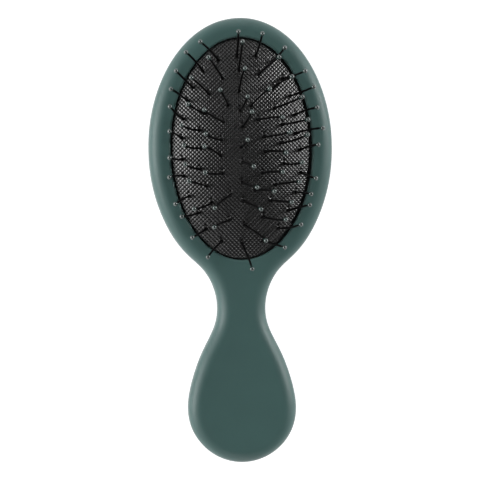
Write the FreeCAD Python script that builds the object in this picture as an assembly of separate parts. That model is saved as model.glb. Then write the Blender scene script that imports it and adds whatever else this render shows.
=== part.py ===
import os
import math
import FreeCAD, Part

V = FreeCAD.Vector

# ---------------------------------------------------------------- dimensions
# Frame: the brush lies on its back. +Z up through the bristles, +Y towards the
# tip of the head, X across. z = 0 is the flat back, y = 0 is half the length.

# outline of the body seen from the front: (y, half width), head tip to handle end
TOP_Y = 72.5
END_Y = -72.5
OUTLINE = [
    (71.2, 7.5), (67.3, 14.5), (61.4, 20.3), (53.5, 25.0), (45.7, 27.85),
    (37.8, 29.45), (30.0, 29.9), (22.1, 29.4), (14.2, 27.75), (6.4, 24.85),
    (-1.5, 20.15), (-5.4, 16.6), (-9.3, 12.5), (-13.2, 9.9), (-17.2, 8.4),
    (-22.1, 7.75), (-27.0, 8.4), (-31.0, 10.0), (-36.8, 12.9), (-42.7, 15.2),
    (-48.6, 16.85), (-54.5, 17.6), (-60.4, 16.75), (-64.4, 14.85),
    (-68.3, 11.4), (-71.2, 6.6),
]

# side view: height of the front face along the length, (y, z)
HEAD_THICK = 15.0
FRONT_PROFILE = [
    (-90.0, 13.0), (-75.0, 13.2), (-58.0, 13.5), (-42.0, 13.6), (-28.0, 13.75),
    (-16.0, 14.2), (-5.0, 14.75), (6.0, 14.98), (20.0, 15.0), (36.0, 15.0),
    (52.0, 15.0), (68.0, 15.0), (90.0, 15.0),
]
FRONT_ROUND = 4.2          # rounding of the front edge
BACK_ROUND = 5.4           # rounding of the back edge
WALL = 2.2                 # shell wall
PART_Z = 6.4               # parting plane of the two shells
SEAM = 0.2                 # chamfer along the parting line
TONGUE_IN, TONGUE_OUT = 1.55, 0.85   # tongue lies between these insets
TONGUE_H = 1.0
LAP_GAP = 0.06

# oval opening in the head and what sits in it
HEAD_Y = 29.8              # centre of the opening
OPEN_A, OPEN_B = 23.1, 36.2
OPEN_ROUND = 0.7
SEAT_WALL = 1.9            # wall around the opening
LEDGE_Z0, LEDGE_Z1 = 5.4, 6.8
LEDGE_IN = 2.4
PLATE_T = 1.6
FLANGE_T = 1.2
RING_TOP = 13.7
RING_IN = 0.72             # ring width seen from the front
FIT = 0.08
BEAD = 0.35                # snap bead on the ring

# domed air cushion
DOME_A, DOME_B = OPEN_A - 0.78, OPEN_B - 0.78
DOME_Z = 14.0              # plane of the dome's edge
DOME_H = 6.8               # rise of the dome
RUBBER_T = 1.3
FABRIC_T = 0.45

# bristles
PIN_LEN = 15.5             # from the fabric to the middle of the ball tip
PIN_R = 0.36
SHANK_R = 0.55
SHANK_UP = 0.9             # straight part of the thick root above the fabric
TAPER = 0.7
BALL_R = 0.72
HOLE_R = 0.62
ROOT_DEPTH = 2.5           # cross bar below the fabric's face
BAR_R, BAR_L = 0.6, 2.4
STRIP_GAP = 0.7            # room below the cross bars
STRIP_T = 0.8
POST_R = 0.7
POST_GAP = 0.03
POST_ROOM = 0.45           # least distance from a post to a cross bar
POST_APART = 7.0

# (root x, root y, tip x, tip y), clockwise from the head tip in each ring
OUTER = {
    "mid": [(-1.4, 59.8, -1.9, 66.5), (-0.3, -1.1, 2.0, -9.2)],
    "right1": [(4.8, 59.7, 5.8, 65.9), (6.6, -0.3, 12.4, -2.4)],
    "right2": [(10.2, 58.0, 12.9, 61.3), (13.4, 52.4, 19.4, 53.9), (11.6, 3.8, 17.7, 4.9)],
    "right3": [
        (15.8, 46.7, 22.1, 48.8), (17.2, 40.5, 23.1, 42.2), (17.5, 34.5, 24.9, 35.6),
        (18.9, 29.2, 23.3, 30.3), (19.2, 21.9, 22.5, 19.6), (17.5, 15.4, 20.9, 14.6),
        (15.0, 9.6, 20.5, 11.1),
    ],
    "left1": [(-6.8, -0.4, -12.1, -5.3), (-7.4, 58.3, -14.0, 63.4)],
    "left2": [(-11.7, 3.8, -17.1, 1.0), (-14.0, 9.0, -20.4, 7.7), (-12.4, 54.8, -18.6, 60.1)],
    "left3": [
        (-17.2, 14.4, -22.4, 11.7), (-19.0, 20.8, -24.3, 20.2), (-19.4, 26.3, -24.2, 26.4),
        (-19.5, 33.1, -24.1, 34.8), (-19.0, 39.4, -23.9, 42.7), (-17.5, 45.2, -23.5, 48.3),
        (-15.8, 49.6, -21.8, 54.1),
    ],
}
SECOND = {
    "mid": [(-0.9, 55.1, -0.6, 63.3), (0.5, 4.7, 6.3, -0.2)],
    "right1": [(5.5, 53.7, 11.0, 58.3), (6.7, 7.5, 12.7, 6.5)],
    "right2": [
        (10.0, 49.0, 15.0, 52.0), (10.5, 42.6, 18.3, 45.6), (12.9, 37.3, 20.0, 38.3),
        (12.7, 31.4, 19.8, 33.5), (13.4, 24.7, 18.0, 24.6), (10.5, 17.9, 17.1, 18.5),
        (9.1, 12.7, 14.6, 12.0),
    ],
    "left1": [(-4.3, 6.4, -10.2, 4.2), (-6.3, 52.4, -11.6, 58.3)],
    "left2": [
        (-10.0, 12.2, -16.6, 10.1), (-11.8, 17.5, -18.2, 18.9), (-13.8, 23.1, -19.3, 24.2),
        (-13.5, 29.8, -19.7, 30.2), (-13.6, 35.6, -20.4, 36.7), (-12.2, 41.0, -18.4, 43.4),
        (-10.7, 47.3, -17.1, 51.8),
    ],
}
THIRD = {
    "mid": [(-1.0, 48.1, -0.1, 54.6), (0.0, 12.6, 4.6, 9.8)],
    "right1": [
        (2.8, 43.3, 7.7, 48.1), (5.0, 38.9, 11.7, 39.0), (6.9, 33.4, 14.1, 34.3),
        (7.2, 28.5, 12.7, 27.7), (6.2, 21.6, 11.6, 21.6), (3.7, 16.0, 8.9, 15.5),
    ],
    "left1": [
        (-3.9, 14.7, -10.1, 10.3), (-6.6, 21.6, -13.2, 21.6), (-7.2, 27.2, -13.3, 29.8),
        (-6.9, 32.4, -12.9, 33.8), (-6.2, 38.3, -13.2, 41.5), (-4.6, 43.6, -8.1, 47.8),
    ],
}
CORE = {
    "mid": [
        (-0.8, 42.0, 0.5, 45.6), (-0.1, 36.6, 1.8, 40.7), (-0.6, 30.1, 0.3, 31.8),
        (-0.2, 25.0, 2.2, 23.4), (-0.4, 18.7, 3.3, 16.7),
    ],
}
RINGS = {"outer": OUTER, "second": SECOND, "third": THIRD, "core": CORE}
# middle line of each root strip, half axes across and along
STRIP_LINE = {"outer": (17.9, 29.2), "second": (11.9, 24.0), "third": (5.9, 17.1)}
STRIP_HALF = 1.6

os.makedirs("parts", exist_ok=True)


# ---------------------------------------------------------------- helpers
def save(name, shape):
    shape.exportStep("parts/" + name + ".step")


def closed_spline(points):
    curve = Part.BSplineCurve()
    curve.interpolate(points, PeriodicFlag=True)
    return curve


def outline_curve():
    right = [V(w, y, 0) for y, w in OUTLINE]
    left = [V(-w, y, 0) for y, w in reversed(OUTLINE)]
    return closed_spline([V(0, TOP_Y, 0)] + right + [V(0, END_Y, 0)] + left)


BODY_LINE = outline_curve()


def inset_curve(inset, count=96):
    """The body outline moved inwards."""
    pts = []
    first, last = BODY_LINE.FirstParameter, BODY_LINE.LastParameter
    for i in range(count):
        u = first + (last - first) * i / count
        p = BODY_LINE.value(u)
        t = BODY_LINE.tangent(u)[0]
        # the outline runs clockwise, so its inside is on the right of the tangent
        pts.append(p + V(t.y, -t.x, 0) * inset)
    return closed_spline(pts)


def slab(curve, z0, z1):
    face = Part.Face(Part.Wire([curve.toShape()]))
    face.translate(V(0, 0, z0))
    return face.extrude(V(0, 0, z1 - z0))


def oval(a, b, z0, z1, cy=HEAD_Y):
    e = Part.Ellipse(V(0, cy + b, z0), V(a, cy, z0), V(0, cy, z0))
    return Part.Face(Part.Wire([e.toShape()])).extrude(V(0, 0, z1 - z0))


def cylinder(r, z0, z1, x, y):
    return Part.makeCylinder(r, z1 - z0, V(x, y, z0))


def under_profile(drop):
    """Everything below the front face, lowered by drop."""
    top = Part.BSplineCurve()
    top.interpolate([V(-60, y, z - drop) for y, z in FRONT_PROFILE])
    y0, y1 = FRONT_PROFILE[0][0], FRONT_PROFILE[-1][0]
    a, b = V(-60, y0, -5), V(-60, y1, -5)
    wire = Part.Wire([
        top.toShape(),
        Part.makeLine(V(-60, y1, FRONT_PROFILE[-1][1] - drop), b),
        Part.makeLine(b, a),
        Part.makeLine(a, V(-60, y0, FRONT_PROFILE[0][1] - drop)),
    ])
    return Part.Face(wire).extrude(V(120, 0, 0))


def long_edges(shape, test):
    return [e for e in shape.Edges if e.Length > 60 and test(e.BoundBox)]


def rounded_body(inset, drop, floor, front_r, back_r):
    curve = inset_curve(inset) if inset else BODY_LINE
    body = slab(curve, floor, HEAD_THICK + 5).common(under_profile(drop))
    body = body.Solids[0]
    front = long_edges(body, lambda b: b.ZMin > HEAD_THICK / 2)
    body = body.makeFillet(front_r, front)
    back = long_edges(body, lambda b: b.ZMax < floor + 0.1)
    return body.makeFillet(back_r, back)


def dome_z(x, y):
    return DOME_Z + DOME_H * (1 - (x / DOME_A) ** 2 - ((y - HEAD_Y) / DOME_B) ** 2)


def under_dome(shift):
    """Everything below the dome's face, raised by shift."""
    half_x, half_y, spans = DOME_A * 1.02, DOME_B * 1.02, 8

    def knots(half):
        inner = [-half + 2 * half * i / spans for i in range(spans + 1)]
        return inner, [inner[0]] * 2 + inner + [inner[-1]] * 2

    (ku, fu), (kv, fv) = knots(half_x), knots(half_y)
    poles = []
    for i in range(spans + 2):
        row = []
        for j in range(spans + 2):
            x, xx = (fu[i + 1] + fu[i + 2]) / 2, fu[i + 1] * fu[i + 2]
            y, yy = (fv[j + 1] + fv[j + 2]) / 2, fv[j + 1] * fv[j + 2]
            z = DOME_Z + shift + DOME_H * (1 - xx / DOME_A**2 - yy / DOME_B**2)
            row.append(V(x, HEAD_Y + y, z))
        poles.append(row)
    mults = [3] + [1] * (spans - 1) + [3]
    surface = Part.BSplineSurface()
    surface.buildFromPolesMultsKnots(poles, mults, mults, ku, kv, False, False, 2, 2)
    return surface.toShape().extrude(V(0, 0, -20))


# ---------------------------------------------------------------- body shells
outer = rounded_body(0, 0, 0, FRONT_ROUND, BACK_ROUND)
hollow = rounded_body(WALL, WALL, WALL, FRONT_ROUND - 2.0, BACK_ROUND - 2.0)

plate_z0 = LEDGE_Z1
plate_z1 = plate_z0 + PLATE_T
flange_z1 = plate_z1 + FLANGE_T

upper_half = Part.makeBox(200, 200, 60, V(-100, -100, PART_Z))
lower_half = Part.makeBox(200, 200, 60, V(-100, -100, PART_Z - 60))
skin = outer.cut(hollow)

# front shell: face, side wall and the stepped seat of the cushion
front = skin.common(upper_half)
seat = oval(OPEN_A + SEAT_WALL, OPEN_B + SEAT_WALL, LEDGE_Z0, HEAD_THICK - 1.0)
front = front.fuse(seat)
front = front.cut(oval(OPEN_A, OPEN_B, LEDGE_Z1, HEAD_THICK + 5))
front = front.cut(oval(OPEN_A - LEDGE_IN, OPEN_B - LEDGE_IN, 0, HEAD_THICK + 5))
groove_z0 = RING_TOP - 1.6
front = front.cut(oval(OPEN_A + BEAD, OPEN_B + BEAD, groove_z0, groove_z0 + 0.9))
# groove for the back shell's tongue
groove = slab(inset_curve(TONGUE_OUT - LAP_GAP), PART_Z - 1, PART_Z + TONGUE_H + 0.1).cut(
    slab(inset_curve(TONGUE_IN + LAP_GAP), PART_Z - 2, PART_Z + 5)
)
front = front.cut(groove)
# sockets for the back shell's locating pins
LOCATORS = [(0, -33.0), (0, -55.0)]
for x, y in LOCATORS:
    boss = cylinder(3.0, PART_Z + 0.6, HEAD_THICK - 2.6, x, y)
    front = front.fuse(boss).cut(cylinder(1.55, PART_Z, HEAD_THICK - 4.4, x, y))
front = front.removeSplitter().Solids[0]
rim = [
    e for e in front.Edges
    if e.Length > 150 and abs(e.BoundBox.XMax - OPEN_A) < 0.02
    and e.BoundBox.ZMin > HEAD_THICK - 0.4
]
front = front.makeFillet(OPEN_ROUND, rim)
seam_front = long_edges(
    front, lambda b: abs(b.ZMax - PART_Z) < 1e-3 and b.XMax > 29.5
)
front = front.makeChamfer(SEAM, seam_front)
save("front_shell", front)

# back shell: flat back, side wall, tongue, cushion props, locating pins, ribs
back = skin.common(lower_half)
tongue = slab(inset_curve(TONGUE_OUT), PART_Z - 1.2, PART_Z + TONGUE_H).cut(
    slab(inset_curve(TONGUE_IN), PART_Z - 3, PART_Z + 5)
)
back = back.fuse(tongue)
for x, y in LOCATORS:
    back = back.fuse(cylinder(3.0, WALL - 0.5, PART_Z + 0.5, x, y))
    back = back.fuse(cylinder(1.5, WALL - 0.5, PART_Z + 3.6, x, y))
for x in (-10.0, 10.0):
    for y in (11.0, 48.5):
        back = back.fuse(cylinder(2.0, WALL - 0.5, plate_z0 - 0.02, x, y))
for y in (-20.0, -44.0):
    rib = Part.makeBox(60, 1.2, 3.4, V(-30, y - 0.6, WALL - 0.5))
    back = back.fuse(rib.common(slab(inset_curve(WALL - 0.6), 0, 20)))
back = back.removeSplitter().Solids[0]
seam_back = long_edges(
    back, lambda b: abs(b.ZMax - PART_Z) < 1e-3 and abs(b.ZMin - PART_Z) < 1e-3 and b.XMax > 29.5
)
back = back.makeChamfer(SEAM, seam_back)
save("back_shell", back)

# ---------------------------------------------------------------- cushion
# stiff plate behind the air cushion, with a vent
plate = oval(OPEN_A - FIT, OPEN_B - FIT, plate_z0, plate_z1)
plate = plate.cut(cylinder(1.5, plate_z0 - 1, plate_z1 + 1, 0, HEAD_Y))
save("carrier_plate", plate)

# snap-in ring that holds the cushion's flange down
ring = oval(OPEN_A - FIT, OPEN_B - FIT, flange_z1, RING_TOP)
ring = ring.fuse(oval(OPEN_A + BEAD - 0.1, OPEN_B + BEAD - 0.1, groove_z0 + 0.1, groove_z0 + 0.8))
ring = ring.cut(oval(OPEN_A - RING_IN, OPEN_B - RING_IN, 0, 30)).removeSplitter()
ring_edges = [e for e in ring.Edges if e.Length > 150 and abs(e.BoundBox.ZMin - RING_TOP) < 1e-3]
ring = ring.makeFillet(0.2, ring_edges)
save("retaining_ring", ring)


# bristle axes: foot on the fabric, direction, cross bar centre
class Pin:
    def __init__(self, row):
        rx, ry, tx, ty = row
        self.foot = V(rx, ry, dome_z(rx, ry) + FABRIC_T)
        side = V(tx - rx, ty - ry, 0)
        rise = math.sqrt(PIN_LEN**2 - side.Length**2)
        self.way = (side + V(0, 0, rise)).normalize()
        self.tip = self.foot + self.way * PIN_LEN
        self.below = ROOT_DEPTH / self.way.z
        self.bar = self.foot - self.way * self.below


PINS = {
    ring_name: {col: [Pin(r) for r in rows] for col, rows in cols.items()}
    for ring_name, cols in RINGS.items()
}
ALL_PINS = [p for cols in PINS.values() for rows in cols.values() for p in rows]

holes = Part.makeCompound([
    Part.makeCylinder(HOLE_R, 5.2, p.bar + p.way * 0.2, p.way) for p in ALL_PINS
])

# rubber cushion: dome, skirt and clamped flange, open below
rubber = under_dome(0).common(oval(DOME_A, DOME_B, plate_z1, 40))
rubber = rubber.fuse(oval(OPEN_A - FIT, OPEN_B - FIT, plate_z1, flange_z1))
air = under_dome(-RUBBER_T).common(
    oval(DOME_A - RUBBER_T, DOME_B - RUBBER_T, plate_z1 - 1, 40)
)
rubber = rubber.cut(air).cut(holes).removeSplitter()
save("cushion_rubber", rubber)

# woven facing bonded on the dome
cap = oval(DOME_A, DOME_B, DOME_Z - 1, 40)
fabric = under_dome(FABRIC_T).common(cap).cut(under_dome(0)).cut(holes)
save("cushion_fabric", fabric)

# strips under the rubber that keep the cross bars of each ring in place
def room(x, y):
    """Clear distance from a post here to the nearest cross bar."""
    near = min(
        math.hypot(x - p.bar.x, max(0.0, abs(y - p.bar.y) - BAR_L / 2)) for p in ALL_PINS
    )
    return near - BAR_R - POST_R


def free_spots(line):
    """Places for posts along a line, roomiest first, well apart from each other."""
    spots = []
    for s in sorted(line, key=lambda s: -room(s.x, s.y)):
        if room(s.x, s.y) > POST_ROOM and all((s - q).Length > POST_APART for q in spots):
            spots.append(s)
    return spots


ceiling = under_dome(-RUBBER_T - POST_GAP)
STRIP_TOP = {}
for ring_name, cols in PINS.items():
    pins = [p for rows in cols.values() for p in rows]
    top = min(p.bar.z for p in pins) - BAR_R - STRIP_GAP
    STRIP_TOP[ring_name] = top
    if ring_name == "core":
        w = STRIP_HALF
        y0, y1 = 19.4, 40.6
        strip = Part.makeBox(2 * w, y1 - y0, STRIP_T, V(-w, y0, top - STRIP_T))
        for y in (y0, y1):
            strip = strip.fuse(cylinder(w, top - STRIP_T, top, 0, y))
        strip = strip.removeSplitter()
        line = [V(0, y0 + (y1 - y0) * k / 120, 0) for k in range(121)]
    else:
        a, b = STRIP_LINE[ring_name]
        strip = oval(a + STRIP_HALF, b + STRIP_HALF, top - STRIP_T, top).cut(
            oval(a - STRIP_HALF, b - STRIP_HALF, 0, 40)
        )
        turns = [2 * math.pi * k / 360 for k in range(360)]
        line = [V(a * math.sin(t), HEAD_Y + b * math.cos(t), 0) for t in turns]
    posts = [
        cylinder(POST_R, top - 0.3, 20, s.x, s.y).common(ceiling) for s in free_spots(line)
    ]
    strip = strip.multiFuse(posts).removeSplitter()
    save("root_strip_" + ring_name, strip)

# ---------------------------------------------------------------- bristles
for ring_name, cols in PINS.items():
    for col, pins in cols.items():
        rods, balls = [], []
        for p in pins:
            s1 = p.below + SHANK_UP
            s2 = s1 + TAPER
            end = p.below + PIN_LEN
            half = Part.makePolygon([
                V(0, 0, 0), V(SHANK_R, 0, 0), V(SHANK_R, 0, s1), V(PIN_R, 0, s2),
                V(PIN_R, 0, end), V(0, 0, end), V(0, 0, 0),
            ])
            rod = Part.Face(half).revolve(V(0, 0, 0), V(0, 0, 1), 360)
            rod.Placement = FreeCAD.Placement(p.bar, FreeCAD.Rotation(V(0, 0, 1), p.way))
            bar = Part.makeCylinder(BAR_R, BAR_L, p.bar - V(0, BAR_L / 2, 0), V(0, 1, 0))
            rods.append(rod.fuse(bar).removeSplitter().Solids[0])
            ball = Part.makeSphere(BALL_R, p.tip, p.way)
            socket = Part.makeCylinder(PIN_R + 0.02, BALL_R + 0.27, p.tip - p.way * (BALL_R + 0.25), p.way)
            balls.append(ball.cut(socket).Solids[0])
        save("bristles_" + ring_name + "_" + col, Part.makeCompound(rods))
        save("tips_" + ring_name + "_" + col, Part.makeCompound(balls))
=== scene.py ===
import math

import bpy
import numpy as np
from mathutils import Matrix, Vector


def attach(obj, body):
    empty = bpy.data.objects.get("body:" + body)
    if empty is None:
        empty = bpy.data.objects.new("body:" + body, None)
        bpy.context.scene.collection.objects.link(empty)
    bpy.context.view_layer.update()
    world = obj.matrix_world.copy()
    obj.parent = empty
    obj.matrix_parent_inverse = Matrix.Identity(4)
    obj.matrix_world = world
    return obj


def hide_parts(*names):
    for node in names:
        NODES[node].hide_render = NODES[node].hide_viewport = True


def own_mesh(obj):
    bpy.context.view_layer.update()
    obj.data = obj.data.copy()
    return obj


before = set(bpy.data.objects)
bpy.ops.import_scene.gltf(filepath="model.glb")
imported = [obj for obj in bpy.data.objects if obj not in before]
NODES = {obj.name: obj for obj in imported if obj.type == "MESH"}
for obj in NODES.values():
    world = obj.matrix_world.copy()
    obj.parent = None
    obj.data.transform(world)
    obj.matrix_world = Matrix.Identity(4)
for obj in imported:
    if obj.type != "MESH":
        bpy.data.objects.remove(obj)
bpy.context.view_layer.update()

MM = 0.001

# ---------------------------------------------------------------- dimensions, mm
HEAD_Y = 29.8
OPEN_A, OPEN_B = 23.1, 36.2
DOME_A, DOME_B = 22.32, 35.42
DOME_Z, DOME_H = 14.0, 6.8
FACE_X, FACE_A, FACE_B = -0.26, DOME_A + 0.12, DOME_B + 0.3
RUBBER_T, FABRIC_T = 1.3, 0.45
PIN_LEN, PIN_R, SHANK_R, SHANK_UP, TAPER = 15.5, 0.36, 0.55, 0.9, 0.7
BALL_R, ROOT_DEPTH, BAR_R, BAR_L = 0.72, 2.5, 0.6, 2.4
EDGE_W, EDGE_DROP = 0.4, 0.04

# bristles: (root x, root y, tip x, tip y)
RINGS = {
    "outer": {
        "mid": [(-1.4, 59.8, -1.9, 66.5), (-0.3, -1.1, 2.0, -9.2)],
        "right1": [(4.8, 59.7, 5.8, 65.9), (6.6, -0.3, 12.4, -2.4)],
        "right2": [(10.2, 58.0, 12.9, 61.3), (13.4, 52.4, 19.4, 53.9), (11.6, 3.8, 17.7, 4.9)],
        "right3": [
            (15.8, 46.7, 22.1, 48.8), (17.2, 40.5, 23.1, 42.2), (17.5, 34.5, 24.9, 35.6),
            (18.9, 29.2, 23.3, 30.3), (19.2, 21.9, 22.5, 19.6), (17.5, 15.4, 20.9, 14.6),
            (15.0, 9.6, 20.5, 11.1),
        ],
        "left1": [(-6.8, -0.4, -12.1, -5.3), (-7.4, 58.3, -14.0, 63.4)],
        "left2": [(-11.7, 3.8, -17.1, 1.0), (-14.0, 9.0, -20.4, 7.7), (-12.4, 54.8, -18.6, 60.1)],
        "left3": [
            (-17.2, 14.4, -22.4, 11.7), (-19.0, 20.8, -24.3, 20.2), (-19.4, 26.3, -24.2, 26.4),
            (-19.5, 33.1, -24.1, 34.8), (-19.0, 39.4, -23.9, 42.7), (-17.5, 45.2, -23.5, 48.3),
            (-15.8, 49.6, -21.8, 54.1),
        ],
    },
    "second": {
        "mid": [(-0.9, 55.1, -0.6, 63.3), (0.5, 4.7, 6.3, -0.2)],
        "right1": [(5.5, 53.7, 11.0, 58.3), (6.7, 7.5, 12.7, 6.5)],
        "right2": [
            (10.0, 49.0, 15.0, 52.0), (10.5, 42.6, 18.3, 45.6), (12.9, 37.3, 20.0, 38.3),
            (12.7, 31.4, 19.8, 33.5), (13.4, 24.7, 18.0, 24.6), (10.5, 17.9, 17.1, 18.5),
            (9.1, 12.7, 14.6, 12.0),
        ],
        "left1": [(-4.3, 6.4, -10.2, 4.2), (-6.3, 52.4, -11.6, 58.3)],
        "left2": [
            (-10.0, 12.2, -16.6, 10.1), (-11.8, 17.5, -18.2, 18.9), (-13.8, 23.1, -19.3, 24.2),
            (-13.5, 29.8, -19.7, 30.2), (-13.6, 35.6, -20.4, 36.7), (-12.2, 41.0, -18.4, 43.4),
            (-10.7, 47.3, -17.1, 51.8),
        ],
    },
    "third": {
        "mid": [(-1.0, 48.1, -0.1, 54.6), (0.0, 12.6, 4.6, 9.8)],
        "right1": [
            (2.8, 43.3, 7.7, 48.1), (5.0, 38.9, 11.7, 39.0), (6.9, 33.4, 14.1, 34.3),
            (7.2, 28.5, 12.7, 27.7), (6.2, 21.6, 11.6, 21.6), (3.7, 16.0, 8.9, 15.5),
        ],
        "left1": [
            (-3.9, 14.7, -10.1, 10.3), (-6.6, 21.6, -13.2, 21.6), (-7.2, 27.2, -13.3, 29.8),
            (-6.9, 32.4, -12.9, 33.8), (-6.2, 38.3, -13.2, 41.5), (-4.6, 43.6, -8.1, 47.8),
        ],
    },
    "core": {
        "mid": [
            (-0.8, 42.0, 0.5, 45.6), (-0.1, 36.6, 1.8, 40.7), (-0.6, 30.1, 0.3, 31.8),
            (-0.2, 25.0, 2.2, 23.4), (-0.4, 18.7, 3.3, 16.7),
        ],
    },
}

# ---------------------------------------------------------------- light levels
# brightness of the studio's walls by height: (sine of the elevation, level)
SKY = {
    "left": [(0.0, 1.5), (0.07, 1.5), (0.22, 1.6), (0.44, 0.9), (0.72, 0.3), (0.9, 0.0)],
    "left_key": [(0.0, 10.5), (0.07, 11.0), (0.22, 11.5), (0.44, 5.2), (0.6, 2.8), (0.72, 1.6), (0.85, 0.0)],
    "right": [(0.0, 0.9), (0.07, 0.9), (0.22, 0.8), (0.44, 0.35), (0.72, 0.2), (0.9, 0.0)],
    "right_key": [(0.0, 15.0), (0.07, 19.0), (0.2, 25.0), (0.34, 30.0), (0.48, 24.0), (0.62, 11.0), (0.74, 0.0)],
    "tip": [(0.0, 1.0), (0.08, 0.9), (0.2, 0.0)],
    "end": [(0.0, 1.0), (0.08, 0.9), (0.2, 0.0)],
    "tip_key": [(0.0, 0.0), (0.2, 0.0), (0.3, 3.0), (0.42, 4.2), (0.52, 3.2), (0.66, 0.0)],
    "end_key": [(0.0, 0.0), (0.2, 0.0), (0.3, 3.6), (0.42, 5.0), (0.52, 3.8), (0.66, 0.0)],
    "all": [(0.0, 0.0), (0.3, 0.0), (0.5, 0.07), (0.72, 0.07), (0.88, 0.09), (1.0, 0.09)],
}
# heading of each side, degrees, and how narrow it is
SKY_SIDES = {
    "left": (186, 2.5), "left_key": (175, 45.0), "right": (10, 2.5), "right_key": (18, 400.0),
    "tip": (90, 1.0), "end": (270, 1.0), "tip_key": (88, 60.0), "end_key": (270, 60.0),
}
FLOOR_GLOW = 0.97


# ---------------------------------------------------------------- helpers
def dome_z(x, y):
    return DOME_Z + DOME_H * (1 - (x / DOME_A) ** 2 - ((y - HEAD_Y) / DOME_B) ** 2)


def edge_drop(x, y):
    """How far the cushion's face turns down towards its edge."""
    y = y - HEAD_Y
    e = np.sqrt((x / DOME_A) ** 2 + (y / DOME_B) ** 2)
    slope = np.sqrt((x / DOME_A**2) ** 2 + (y / DOME_B**2) ** 2) / np.maximum(e, 1e-6)
    t = np.clip(1 - (1 - e) / np.maximum(slope, 1e-6) / EDGE_W, 0.0, 1.0)
    return EDGE_DROP * t * t


def new_object(name, verts, faces, materials, face_material=None, smooth=True):
    """A mesh from points in mm."""
    mesh = bpy.data.meshes.new(name)
    verts = np.asarray(verts, np.float64) * MM
    mesh.vertices.add(len(verts))
    mesh.vertices.foreach_set("co", verts.astype(np.float32).ravel())
    sizes = np.array([len(f) for f in faces], np.int32)
    loops = np.concatenate([np.asarray(f, np.int32) for f in faces])
    mesh.loops.add(len(loops))
    mesh.loops.foreach_set("vertex_index", loops)
    mesh.polygons.add(len(sizes))
    starts = np.concatenate([[0], np.cumsum(sizes)[:-1]]).astype(np.int32)
    mesh.polygons.foreach_set("loop_start", starts)
    for m in materials:
        mesh.materials.append(m)
    if face_material is not None:
        mesh.polygons.foreach_set("material_index", np.asarray(face_material, np.int32))
    mesh.update(calc_edges=True)
    mesh.validate()
    mesh.polygons.foreach_set("use_smooth", np.full(len(mesh.polygons), smooth))
    obj = bpy.data.objects.new(name, mesh)
    bpy.context.scene.collection.objects.link(obj)
    return obj


class Nodes:
    """A material's node tree with short calls."""

    def __init__(self, name):
        self.mat = bpy.data.materials.new(name)
        self.mat.use_nodes = True
        self.tree = self.mat.node_tree
        self.tree.nodes.clear()
        self.out = self.tree.nodes.new("ShaderNodeOutputMaterial")
        self.shader = self.tree.nodes.new("ShaderNodeBsdfPrincipled")
        self.link(self.shader.outputs[0], self.out.inputs[0])
        self.coord = self.tree.nodes.new("ShaderNodeTexCoord").outputs["Object"]

    def link(self, a, b):
        self.tree.links.new(a, b)

    def set(self, **values):
        for key, value in values.items():
            self.shader.inputs[key.replace("_", " ").title().replace("Ior", "IOR")].default_value = value

    def mapped(self, scale, turn=(0, 0, 0), source=None):
        n = self.tree.nodes.new("ShaderNodeMapping")
        n.inputs["Scale"].default_value = scale
        n.inputs["Rotation"].default_value = turn
        self.link(source or self.coord, n.inputs["Vector"])
        return n.outputs[0]

    def noise(self, scale, detail=2.0, rough=0.5, source=None):
        n = self.tree.nodes.new("ShaderNodeTexNoise")
        n.inputs["Scale"].default_value = scale
        n.inputs["Detail"].default_value = detail
        n.inputs["Roughness"].default_value = rough
        self.link(source or self.coord, n.inputs["Vector"])
        return n.outputs["Fac"]

    def cells(self, scale, source=None):
        n = self.tree.nodes.new("ShaderNodeTexVoronoi")
        n.inputs["Scale"].default_value = scale
        self.link(source or self.coord, n.inputs["Vector"])
        return n.outputs["Distance"]

    def ramp(self, fac, stops):
        n = self.tree.nodes.new("ShaderNodeValToRGB")
        e = n.color_ramp.elements
        while len(e) < len(stops):
            e.new(0.5)
        for k, (at, colour) in enumerate(stops):
            e[k].position = at
            e[k].color = (*colour, 1.0)
        self.link(fac, n.inputs[0])
        return n.outputs[0]

    def span(self, fac, lo, hi, a=0.0, b=1.0):
        n = self.tree.nodes.new("ShaderNodeMapRange")
        n.inputs["From Min"].default_value = a
        n.inputs["From Max"].default_value = b
        n.inputs["To Min"].default_value = lo
        n.inputs["To Max"].default_value = hi
        self.link(fac, n.inputs[0])
        return n.outputs[0]

    def math(self, op, a, b):
        n = self.tree.nodes.new("ShaderNodeMath")
        n.operation = op
        for k, v in enumerate((a, b)):
            if isinstance(v, (int, float)):
                n.inputs[k].default_value = v
            else:
                self.link(v, n.inputs[k])
        return n.outputs[0]

    def bump(self, height, strength, distance_mm):
        n = self.tree.nodes.new("ShaderNodeBump")
        n.inputs["Strength"].default_value = strength
        n.inputs["Distance"].default_value = distance_mm * MM
        self.link(height, n.inputs["Height"])
        self.link(n.outputs[0], self.shader.inputs["Normal"])

    def colour(self, socket):
        self.link(socket, self.shader.inputs["Base Color"])

    def rough(self, socket):
        self.link(socket, self.shader.inputs["Roughness"])


def shade(c, k):
    return tuple(min(1.0, v * k) for v in c)


# ---------------------------------------------------------------- materials
def soft_touch(name, base):
    """Matte rubbery paint over moulded plastic: fine grain, faint clouding."""
    m = Nodes(name)
    cloud = m.noise(38, 4, 0.55)
    grain = m.noise(5200, 2, 0.6)
    m.colour(m.ramp(
        m.math("ADD", m.math("MULTIPLY", cloud, 0.8), m.math("MULTIPLY", grain, 0.2)),
        [(0.25, shade(base, 0.9)), (0.5, base), (0.75, shade(base, 1.1))],
    ))
    m.rough(m.span(m.noise(900, 3, 0.6), 0.42, 0.52))
    m.bump(grain, 0.10, 0.03)
    m.set(specular_ior_level=0.5)
    m.set(sheen_weight=0.08, sheen_roughness=0.4)
    return m.mat


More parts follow.
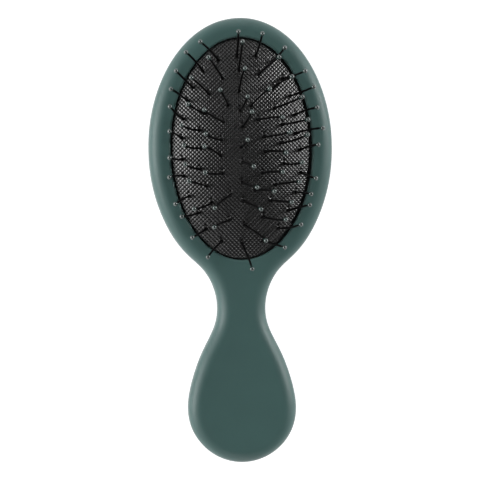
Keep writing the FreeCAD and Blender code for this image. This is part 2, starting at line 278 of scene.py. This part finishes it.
def moulded(name, base, rough, grain_scale, strength, level=0.5):
    """Plain moulded plastic or rubber with a fine surface."""
    m = Nodes(name)
    cloud = m.noise(120, 3, 0.5)
    grain = m.noise(grain_scale, 3, 0.6)
    m.colour(m.ramp(cloud, [(0.3, shade(base, 0.8)), (0.7, shade(base, 1.25))]))
    m.rough(m.span(grain, rough - 0.06, rough + 0.06))
    m.bump(grain, strength, 0.03)
    m.set(specular_ior_level=level)
    return m.mat


def yarn(name, base, along, level):
    """Filament yarn: fine fibres run along it, and its tone differs from thread to thread."""
    m = Nodes(name)
    turn = (0, 0, along)
    fibre = m.noise(1.0, 2, 0.5, m.mapped((1500, 14000, 1500), turn))
    thread = m.noise(1.0, 1, 0.5, m.mapped((40, 1041, 40), turn))
    tone = m.math("ADD", m.math("MULTIPLY", fibre, 0.5), m.math("MULTIPLY", thread, 0.5))
    m.colour(m.ramp(tone, [(0.3, shade(base, 0.55)), (0.5, base), (0.72, shade(base, 1.6))]))
    m.rough(m.span(fibre, 0.225, 0.315))
    m.bump(fibre, 0.06, 0.02)
    m.set(specular_ior_level=level)
    return m.mat


def nylon(name, base):
    m = Nodes(name)
    streak = m.noise(1.0, 3, 0.5, m.mapped((2600, 2600, 260)))
    m.colour(m.ramp(streak, [(0.3, shade(base, 0.7)), (0.7, shade(base, 1.4))]))
    m.rough(m.span(streak, 0.30, 0.42))
    m.bump(streak, 0.12, 0.02)
    m.set(specular_ior_level=0.08)
    return m.mat


def bead(name, base):
    """Dipped ball tip: glossy with a slight unevenness."""
    m = Nodes(name)
    wave = m.noise(700, 2, 0.5)
    m.colour(m.ramp(wave, [(0.3, shade(base, 0.8)), (0.7, shade(base, 1.25))]))
    m.rough(m.span(m.noise(3000, 2, 0.5), 0.05, 0.10))
    m.bump(wave, 0.10, 0.03)
    m.set(specular_ior_level=1.0, ior=1.6)
    return m.mat


GREEN = (0.0545, 0.1200, 0.1120)
body_mat = soft_touch("soft_touch_green", GREEN)
ring_mat = moulded("satin_black", (0.006, 0.006, 0.0065), 0.42, 2600, 0.10, 0.35)
plate_mat = moulded("moulded_black", (0.012, 0.012, 0.013), 0.55, 1800, 0.25)
rubber_mat = moulded("black_rubber", (0.010, 0.010, 0.011), 0.72, 2200, 0.30, 0.3)
warp_mat = yarn("yarn_warp", (0.004, 0.004, 0.0042), math.radians(-45), 0.85)
weft_mat = yarn("yarn_weft", (0.007, 0.007, 0.0073), math.radians(45), 0.85)
# painted shade: the darkest yarn colour, laid on the gaps between threads and in the dimples beside the roots
painted_gap_shade_mat = moulded("yarn_gap_painted_shade", (0.0025, 0.0025, 0.0026), 0.6, 9000, 0.2, 0.15)
pin_mat = nylon("black_nylon", (0.0022, 0.0022, 0.0024))
bead_mat = bead("bead_green", (0.014, 0.034, 0.030))

for name, mat in [
    ("front_shell", body_mat), ("back_shell", body_mat), ("retaining_ring", ring_mat),
    ("carrier_plate", plate_mat), ("root_strip_outer", rubber_mat),
    ("root_strip_second", rubber_mat), ("root_strip_third", rubber_mat),
    ("root_strip_core", rubber_mat),
]:
    data = NODES[name].data
    data.materials.clear()
    data.materials.append(mat)


# ---------------------------------------------------------------- bristles
class Pin:
    def __init__(self, row):
        rx, ry, tx, ty = row
        self.foot = np.array([rx, ry, dome_z(rx, ry) + FABRIC_T])
        side = np.array([tx - rx, ty - ry, 0.0])
        self.way = (side + [0, 0, math.sqrt(PIN_LEN**2 - side @ side)]) / PIN_LEN
        self.below = ROOT_DEPTH / self.way[2]
        self.bar = self.foot - self.way * self.below
        # a little bow, different for each bristle
        turn = (rx * 12.9898 + ry * 78.233) % (2 * math.pi)
        u = np.cross(self.way, [0.0, 1.0, 0.0])
        u /= np.linalg.norm(u)
        v = np.cross(self.way, u)
        self.lean = (u * math.cos(turn) + v * math.sin(turn)) * (0.22 + 0.26 * ((rx * 3.7 + ry * 1.3) % 1.0))

    def at(self, s):
        t = max(0.0, s / PIN_LEN)
        return self.foot + self.way * s + self.lean * 4 * t * (1 - t)

    def direction(self, s):
        d = self.at(s + 0.05) - self.at(s - 0.05)
        return d / np.linalg.norm(d)


PINS = {r: {c: [Pin(row) for row in rows] for c, rows in cols.items()} for r, cols in RINGS.items()}
ALL_PINS = [p for cols in PINS.values() for rows in cols.values() for p in rows]


class Lathe:
    """Collects round solids: rings of points about a line, capped at both ends."""

    def __init__(self):
        self.verts, self.faces = [], []

    def add(self, rings, sides):
        """rings: (centre, direction, radius)."""
        first = len(self.verts)
        ang = np.arange(sides) * 2 * math.pi / sides
        for centre, way, radius in rings:
            u = np.cross(way, [0.0, 1.0, 0.0])
            if np.linalg.norm(u) < 0.2:
                u = np.cross(way, [1.0, 0.0, 0.0])
            u /= np.linalg.norm(u)
            v = np.cross(way, u)
            self.verts += list(centre + radius * (np.outer(np.cos(ang), u) + np.outer(np.sin(ang), v)))
        count = len(rings)
        for k in range(count - 1):
            a, b = first + k * sides, first + (k + 1) * sides
            for i in range(sides):
                j = (i + 1) % sides
                self.faces.append((a + i, a + j, b + j, b + i))
        self.faces.append(tuple(first + i for i in reversed(range(sides))))
        self.faces.append(tuple(first + (count - 1) * sides + i for i in range(sides)))


def smooth_step(t):
    t = min(1.0, max(0.0, t))
    return t * t * (3 - 2 * t)


def pin_radius(s):
    if s <= SHANK_UP:
        return SHANK_R
    k = smooth_step((s - SHANK_UP) / TAPER)
    return SHANK_R + (PIN_R - SHANK_R) * k


for ring_name, cols in PINS.items():
    for col, pins in cols.items():
        key = ring_name + "_" + col
        rods, beads = Lathe(), Lathe()
        for p in pins:
            steps = [-p.below, -p.below * 0.4, 0.0, 0.35, 0.7, 0.9, 1.02, 1.14, 1.26, 1.38, 1.5, 1.6]
            steps += list(np.linspace(2.6, 14.6, 11)) + [15.3]
            rods.add([(p.at(s), p.direction(s), pin_radius(s)) for s in steps], 14)
            half, y = BAR_L / 2, np.array([0.0, 1.0, 0.0])
            bar = [(-half, 0.42), (-half + 0.06, 0.52), (-half + 0.18, BAR_R)]
            bar += [(-a, r) for a, r in reversed(bar)]
            rods.add([(p.bar + y * a, y, r) for a, r in bar], 14)
            # ball with a short collar where it was dipped
            profile = [(-1.28, 0.372), (-1.12, 0.385), (-0.96, 0.405), (-0.82, 0.43), (-0.70, 0.455)]
            profile += [
                (BALL_R * -math.cos(t), BALL_R * math.sin(t))
                for t in np.linspace(math.radians(38), math.radians(176), 15)
            ]
            tip, way = p.at(PIN_LEN), p.direction(PIN_LEN)
            beads.add([(tip + way * a, way, r) for a, r in profile], 20)
        body = "pins_" + key
        rod = new_object("filaments_" + key, rods.verts, rods.faces, [pin_mat])
        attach(rod, body)
        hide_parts("bristles_" + key)
        ball = new_object("beads_" + key, beads.verts, beads.faces, [bead_mat])
        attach(ball, body)
        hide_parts("tips_" + key)


# ---------------------------------------------------------------- woven facing
PITCH = 0.93               # from thread to thread
SAMPLES = 8                # points across one pitch
CRIMP, YARN_T, YARN_W = 0.14, 0.10, 0.455 * PITCH


def woven_facing():
    step = PITCH / SAMPLES
    reach = math.hypot(DOME_A, DOME_B) / math.sqrt(2) + 2 * step
    n = int(reach / step)
    line = np.arange(-n, n + 1) * step
    p, q = np.meshgrid(line, line, indexing="ij")
    x, y = (p + q) / math.sqrt(2), (p - q) / math.sqrt(2)
    inside = ((x - FACE_X) / FACE_A) ** 2 + (y / FACE_B) ** 2 <= 1.0
    cell = inside[:-1, :-1] & inside[1:, :-1] & inside[1:, 1:] & inside[:-1, 1:]
    used = np.zeros_like(inside)
    for a in (slice(None, -1), slice(1, None)):
        for b in (slice(None, -1), slice(1, None)):
            used[a, b] |= cell
    whole = np.zeros_like(inside)
    whole[1:-1, 1:-1] = cell[:-1, :-1] & cell[1:, :-1] & cell[1:, 1:] & cell[:-1, 1:]
    rim = used & ~whole
    # points on the edge go out to the oval
    e = np.sqrt(((x - FACE_X) / FACE_A) ** 2 + (y / FACE_B) ** 2)
    grow = np.where(rim, 1.0 / np.maximum(e, 1e-6), 1.0)
    x, y = FACE_X + (x - FACE_X) * grow, y * grow

    # plain weave: threads along p and along q pass over and under each other
    i, j = np.round(q / PITCH), np.round(p / PITCH)
    odd_i, odd_j = 1 - 2 * (i % 2), 1 - 2 * (j % 2)
    fat_i = 1 + 0.12 * np.sin(i * 12.9898)
    fat_j = 1 + 0.12 * np.sin(j * 78.233)

    def bulge(d):
        return np.maximum(0.0, 1 - (d / YARN_W) ** 2)

    along_p = CRIMP * odd_i * np.cos(math.pi * p / PITCH) + YARN_T * fat_i * bulge(q - i * PITCH)
    along_q = -CRIMP * odd_j * np.cos(math.pi * q / PITCH) + YARN_T * fat_j * bulge(p - j * PITCH)
    weave = np.maximum(np.maximum(along_p, along_q), -0.04)
    top_is_p = along_p >= along_q

    under = dome_z(x, y + HEAD_Y) - edge_drop(x, y + HEAD_Y)
    z = under + 0.18 + weave * np.where(rim, 0.4, 1.0)
    for pin in ALL_PINS:       # the cloth is drawn up a little where a bristle comes through
        r2 = (x - pin.foot[0]) ** 2 + (y + HEAD_Y - pin.foot[1]) ** 2
        z += 0.12 * np.exp(-r2 / 0.85**2)
        r2 = (x - pin.foot[0] + 0.1) ** 2 + (y + HEAD_Y - pin.foot[1] - 1.2) ** 2
        z -= 0.25 * np.exp(-r2 / 0.42**2)
    z = np.maximum(z, under + 0.06)
    index = np.full(inside.shape, -1, np.int64)
    index[used] = np.arange(used.sum())
    verts = np.stack([x[used], y[used] + HEAD_Y, z[used]], axis=1)
    a, b = index[:-1, :-1][cell], index[1:, :-1][cell]
    c, d = index[1:, 1:][cell], index[:-1, 1:][cell]
    # p x q points down, so the order is turned for faces that look up
    faces = np.stack([a, d, c, b], axis=1)
    share = (top_is_p[:-1, :-1].astype(int) + top_is_p[1:, :-1] + top_is_p[1:, 1:] + top_is_p[:-1, 1:])[cell]
    material = (share < 2).astype(int)
    # painted shade: the lowest faces between the threads get a darker, duller yarn colour that stands in for the shadow
    # in the gaps
    low = (weave[:-1, :-1] + weave[1:, :-1] + weave[1:, 1:] + weave[:-1, 1:])[cell] / 4
    edge = (rim[:-1, :-1] | rim[1:, :-1] | rim[1:, 1:] | rim[:-1, 1:])[cell]
    cx = (x[:-1, :-1] + x[1:, 1:])[cell] / 2
    cy = (y[:-1, :-1] + y[1:, 1:])[cell] / 2 + HEAD_Y
    # painted shade: the dimple beside each bristle's root gets the same dark colour, standing in for the shadow inside
    # the pit
    for pin in ALL_PINS:
        material[(cx - pin.foot[0] + 0.1) ** 2 + (cy - pin.foot[1] - 1.2) ** 2 < 0.36**2] = 2
    material[(low < np.quantile(low, 0.17)) & ~edge] = 2

    # the rim points in order round the oval close the cloth below
    edge_count = {}
    for f in faces:
        for k in range(4):
            u, v = int(f[k]), int(f[(k + 1) % 4])
            edge_count[(u, v)] = edge_count.get((u, v), 0) + 1
    follow = {u: v for (u, v) in edge_count if (v, u) not in edge_count}
    start = min(follow)
    loop = [start]
    while follow[loop[-1]] != start:
        loop.append(follow[loop[-1]])
    verts, faces, material = list(verts), [tuple(f) for f in faces], list(material)
    ring = np.array([verts[k] for k in loop])
    last = loop
    for scale in (1.0, 0.9, 0.7, 0.45, 0.2):
        px, py = FACE_X + (ring[:, 0] - FACE_X) * scale, (ring[:, 1] - HEAD_Y) * scale + HEAD_Y
        base = len(verts)
        verts += list(np.stack([px, py, dome_z(px, py) + 0.03 - edge_drop(px, py)], axis=1))
        now = list(range(base, base + len(loop)))
        for k in range(len(loop)):
            m = (k + 1) % len(loop)
            faces.append((last[m], last[k], now[k], now[m]))
            material.append(0)
        last = now
    centre = len(verts)
    verts.append(np.array([FACE_X, HEAD_Y, dome_z(FACE_X, HEAD_Y) + 0.03]))
    for k in range(len(loop)):
        faces.append((last[(k + 1) % len(loop)], last[k], centre))
        material.append(0)
    return new_object("woven_facing", verts, faces, [warp_mat, weft_mat, painted_gap_shade_mat], material)


facing = woven_facing()
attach(facing, "handle")
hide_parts("cushion_fabric")


# ---------------------------------------------------------------- rubber cushion
def membrane():
    """Domed rubber under the cloth, down to the plane of its edge."""
    sides, rings = 160, 22
    t = np.arange(sides) * 2 * math.pi / sides
    verts, faces = [], []
    for under in (False, True):
        drop = RUBBER_T if under else 0.0
        for k in range(rings + 1):
            s = 1 - k / (rings + 1)
            a, b = (DOME_A - 0.02 - drop) * s, (DOME_B - 0.02 - drop) * s
            px, py = a * np.cos(t), HEAD_Y + b * np.sin(t)
            pz = np.maximum(dome_z(px, py) - drop - edge_drop(px, py), DOME_Z - EDGE_DROP)
            verts += list(np.stack([px, py, pz], axis=1))
    per = (rings + 1) * sides
    for under in (False, True):
        base = per if under else 0
        for k in range(rings):
            for i in range(sides):
                j = (i + 1) % sides
                f = (base + k * sides + i, base + k * sides + j, base + (k + 1) * sides + j, base + (k + 1) * sides + i)
                faces.append(tuple(reversed(f)) if under else f)
        pole = len(verts)
        verts.append(np.array([0.0, HEAD_Y, dome_z(0, HEAD_Y) - (RUBBER_T if under else 0.0)]))
        for i in range(sides):
            j = (i + 1) % sides
            f = (base + rings * sides + i, base + rings * sides + j, pole)
            faces.append(tuple(reversed(f)) if under else f)
    for i in range(sides):
        j = (i + 1) % sides
        faces.append((j, i, per + i, per + j))
    return new_object("rubber_dome", verts, faces, [rubber_mat])


def oval_sweep(name, profile, sides, material):
    """A closed section carried round the oval; profile holds (half axes shift, z) pairs."""
    t = np.arange(sides) * 2 * math.pi / sides
    verts, faces = [], []
    for a, b, z in profile:
        verts += list(np.stack([a * np.cos(t), HEAD_Y + b * np.sin(t), np.full(sides, z)], axis=1))
    count = len(profile)
    for k in range(count):
        m = (k + 1) % count
        for i in range(sides):
            j = (i + 1) % sides
            faces.append((k * sides + i, k * sides + j, m * sides + j, m * sides + i))
    return new_object(name, verts, faces, [material])


dome = membrane()
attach(dome, "handle")
skirt = oval_sweep("rubber_skirt", [
    (DOME_A - 0.02, DOME_B - 0.02, DOME_Z - EDGE_DROP), (DOME_A - 0.02, DOME_B - 0.02, 9.85),
    (DOME_A + 0.13, DOME_B + 0.13, 9.60), (OPEN_A - 0.3, OPEN_B - 0.3, 9.60),
    (OPEN_A - 0.1, OPEN_B - 0.1, 9.42), (OPEN_A - 0.1, OPEN_B - 0.1, 8.58),
    (OPEN_A - 0.3, OPEN_B - 0.3, 8.42), (DOME_A - 1.05, DOME_B - 1.05, 8.42),
    (DOME_A - 1.3, DOME_B - 1.3, 8.7), (DOME_A - 1.32, DOME_B - 1.32, DOME_Z - EDGE_DROP),
], 160, rubber_mat)
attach(skirt, "handle")
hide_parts("cushion_rubber")

for soft in (facing, dome):
    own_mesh(soft)


# ---------------------------------------------------------------- floor, light, camera
def floor_material():
    m = Nodes("paper_white")
    m.colour(m.ramp(m.noise(6, 2, 0.5), [(0.3, (0.27, 0.27, 0.272)), (0.7, (0.31, 0.31, 0.31))]))
    m.set(roughness=0.9, specular_ior_level=0.1)
    m.set(emission_color=(1.0, 1.0, 1.0, 1.0), emission_strength=FLOOR_GLOW)
    return m.mat


side = np.array([-1.0, 1.0]) * 2500
floor = new_object(
    "floor", [(side[0], side[0], -0.3), (side[1], side[0], -0.3), (side[1], side[1], -0.3), (side[0], side[1], -0.3)],
    [(0, 1, 2, 3)], [floor_material()], smooth=False,
)

class Sky(Nodes):
    """Walls and ceiling of the studio: each side has its own brightness by height."""

    def __init__(self, name):
        world = bpy.data.worlds.new(name)
        bpy.context.scene.world = world
        world.use_nodes = True
        self.tree = world.node_tree
        self.out = self.tree.nodes["Background"]
        self.split = self.tree.nodes.new("ShaderNodeSeparateXYZ")
        self.link(self.tree.nodes.new("ShaderNodeTexCoord").outputs["Generated"], self.split.inputs[0])

    def build(self, table):
        x, y, z = self.split.outputs
        flat = self.math("SQRT", self.math("ADD", self.math("MULTIPLY", x, x), self.math("MULTIPLY", y, y)), 0.0)
        flat = self.math("MAXIMUM", flat, 0.001)
        total = None
        for name, stops in table.items():
            most = max(v for _, v in stops)
            if most <= 0:
                continue
            level = self.ramp(z, [(at, (v / most,) * 3) for at, v in stops])
            level = self.math("MULTIPLY", level, most)
            if name in SKY_SIDES:
                heading, narrow = SKY_SIDES[name]
                across = self.math("MULTIPLY", x, math.cos(math.radians(heading)))
                along = self.math("MULTIPLY", y, math.sin(math.radians(heading)))
                facing = self.math("MAXIMUM", self.math("DIVIDE", self.math("ADD", across, along), flat), 0.0)
                level = self.math("MULTIPLY", level, self.math("POWER", facing, narrow))
            total = level if total is None else self.math("ADD", total, level)
        if total is not None:
            self.link(total, self.out.inputs["Strength"])
        self.out.inputs["Color"].default_value = (1.0, 1.0, 1.0, 1.0)


Sky("studio").build(SKY)

VIEW_TILT = math.radians(4.3)      # the camera stands this far to the left
VIEW_FAR = 900 * MM
VIEW_ROLL = math.radians(0.455)
target = Vector((-0.2 * MM, 0.05 * MM, 7.5 * MM))
back = Vector((-math.sin(VIEW_TILT), 0, math.cos(VIEW_TILT)))
right0, up0 = Vector((math.cos(VIEW_TILT), 0, math.sin(VIEW_TILT))), Vector((0, 1, 0))
right = right0 * math.cos(VIEW_ROLL) - up0 * math.sin(VIEW_ROLL)
up = up0 * math.cos(VIEW_ROLL) + right0 * math.sin(VIEW_ROLL)
cam = bpy.data.cameras.new("camera")
cam.sensor_fit = "HORIZONTAL"
cam.sensor_width = 36.0
cam.lens = 2749.5 / 480 * 36.0
cam.clip_start, cam.clip_end = 0.01, 20.0
cam_obj = bpy.data.objects.new("camera", cam)
turn = Matrix((right, up, back)).transposed().to_4x4()
cam_obj.matrix_world = Matrix.Translation(target + back * VIEW_FAR) @ turn
bpy.context.scene.collection.objects.link(cam_obj)
bpy.context.scene.camera = cam_obj
bpy.context.scene.view_settings.view_transform = "Standard"
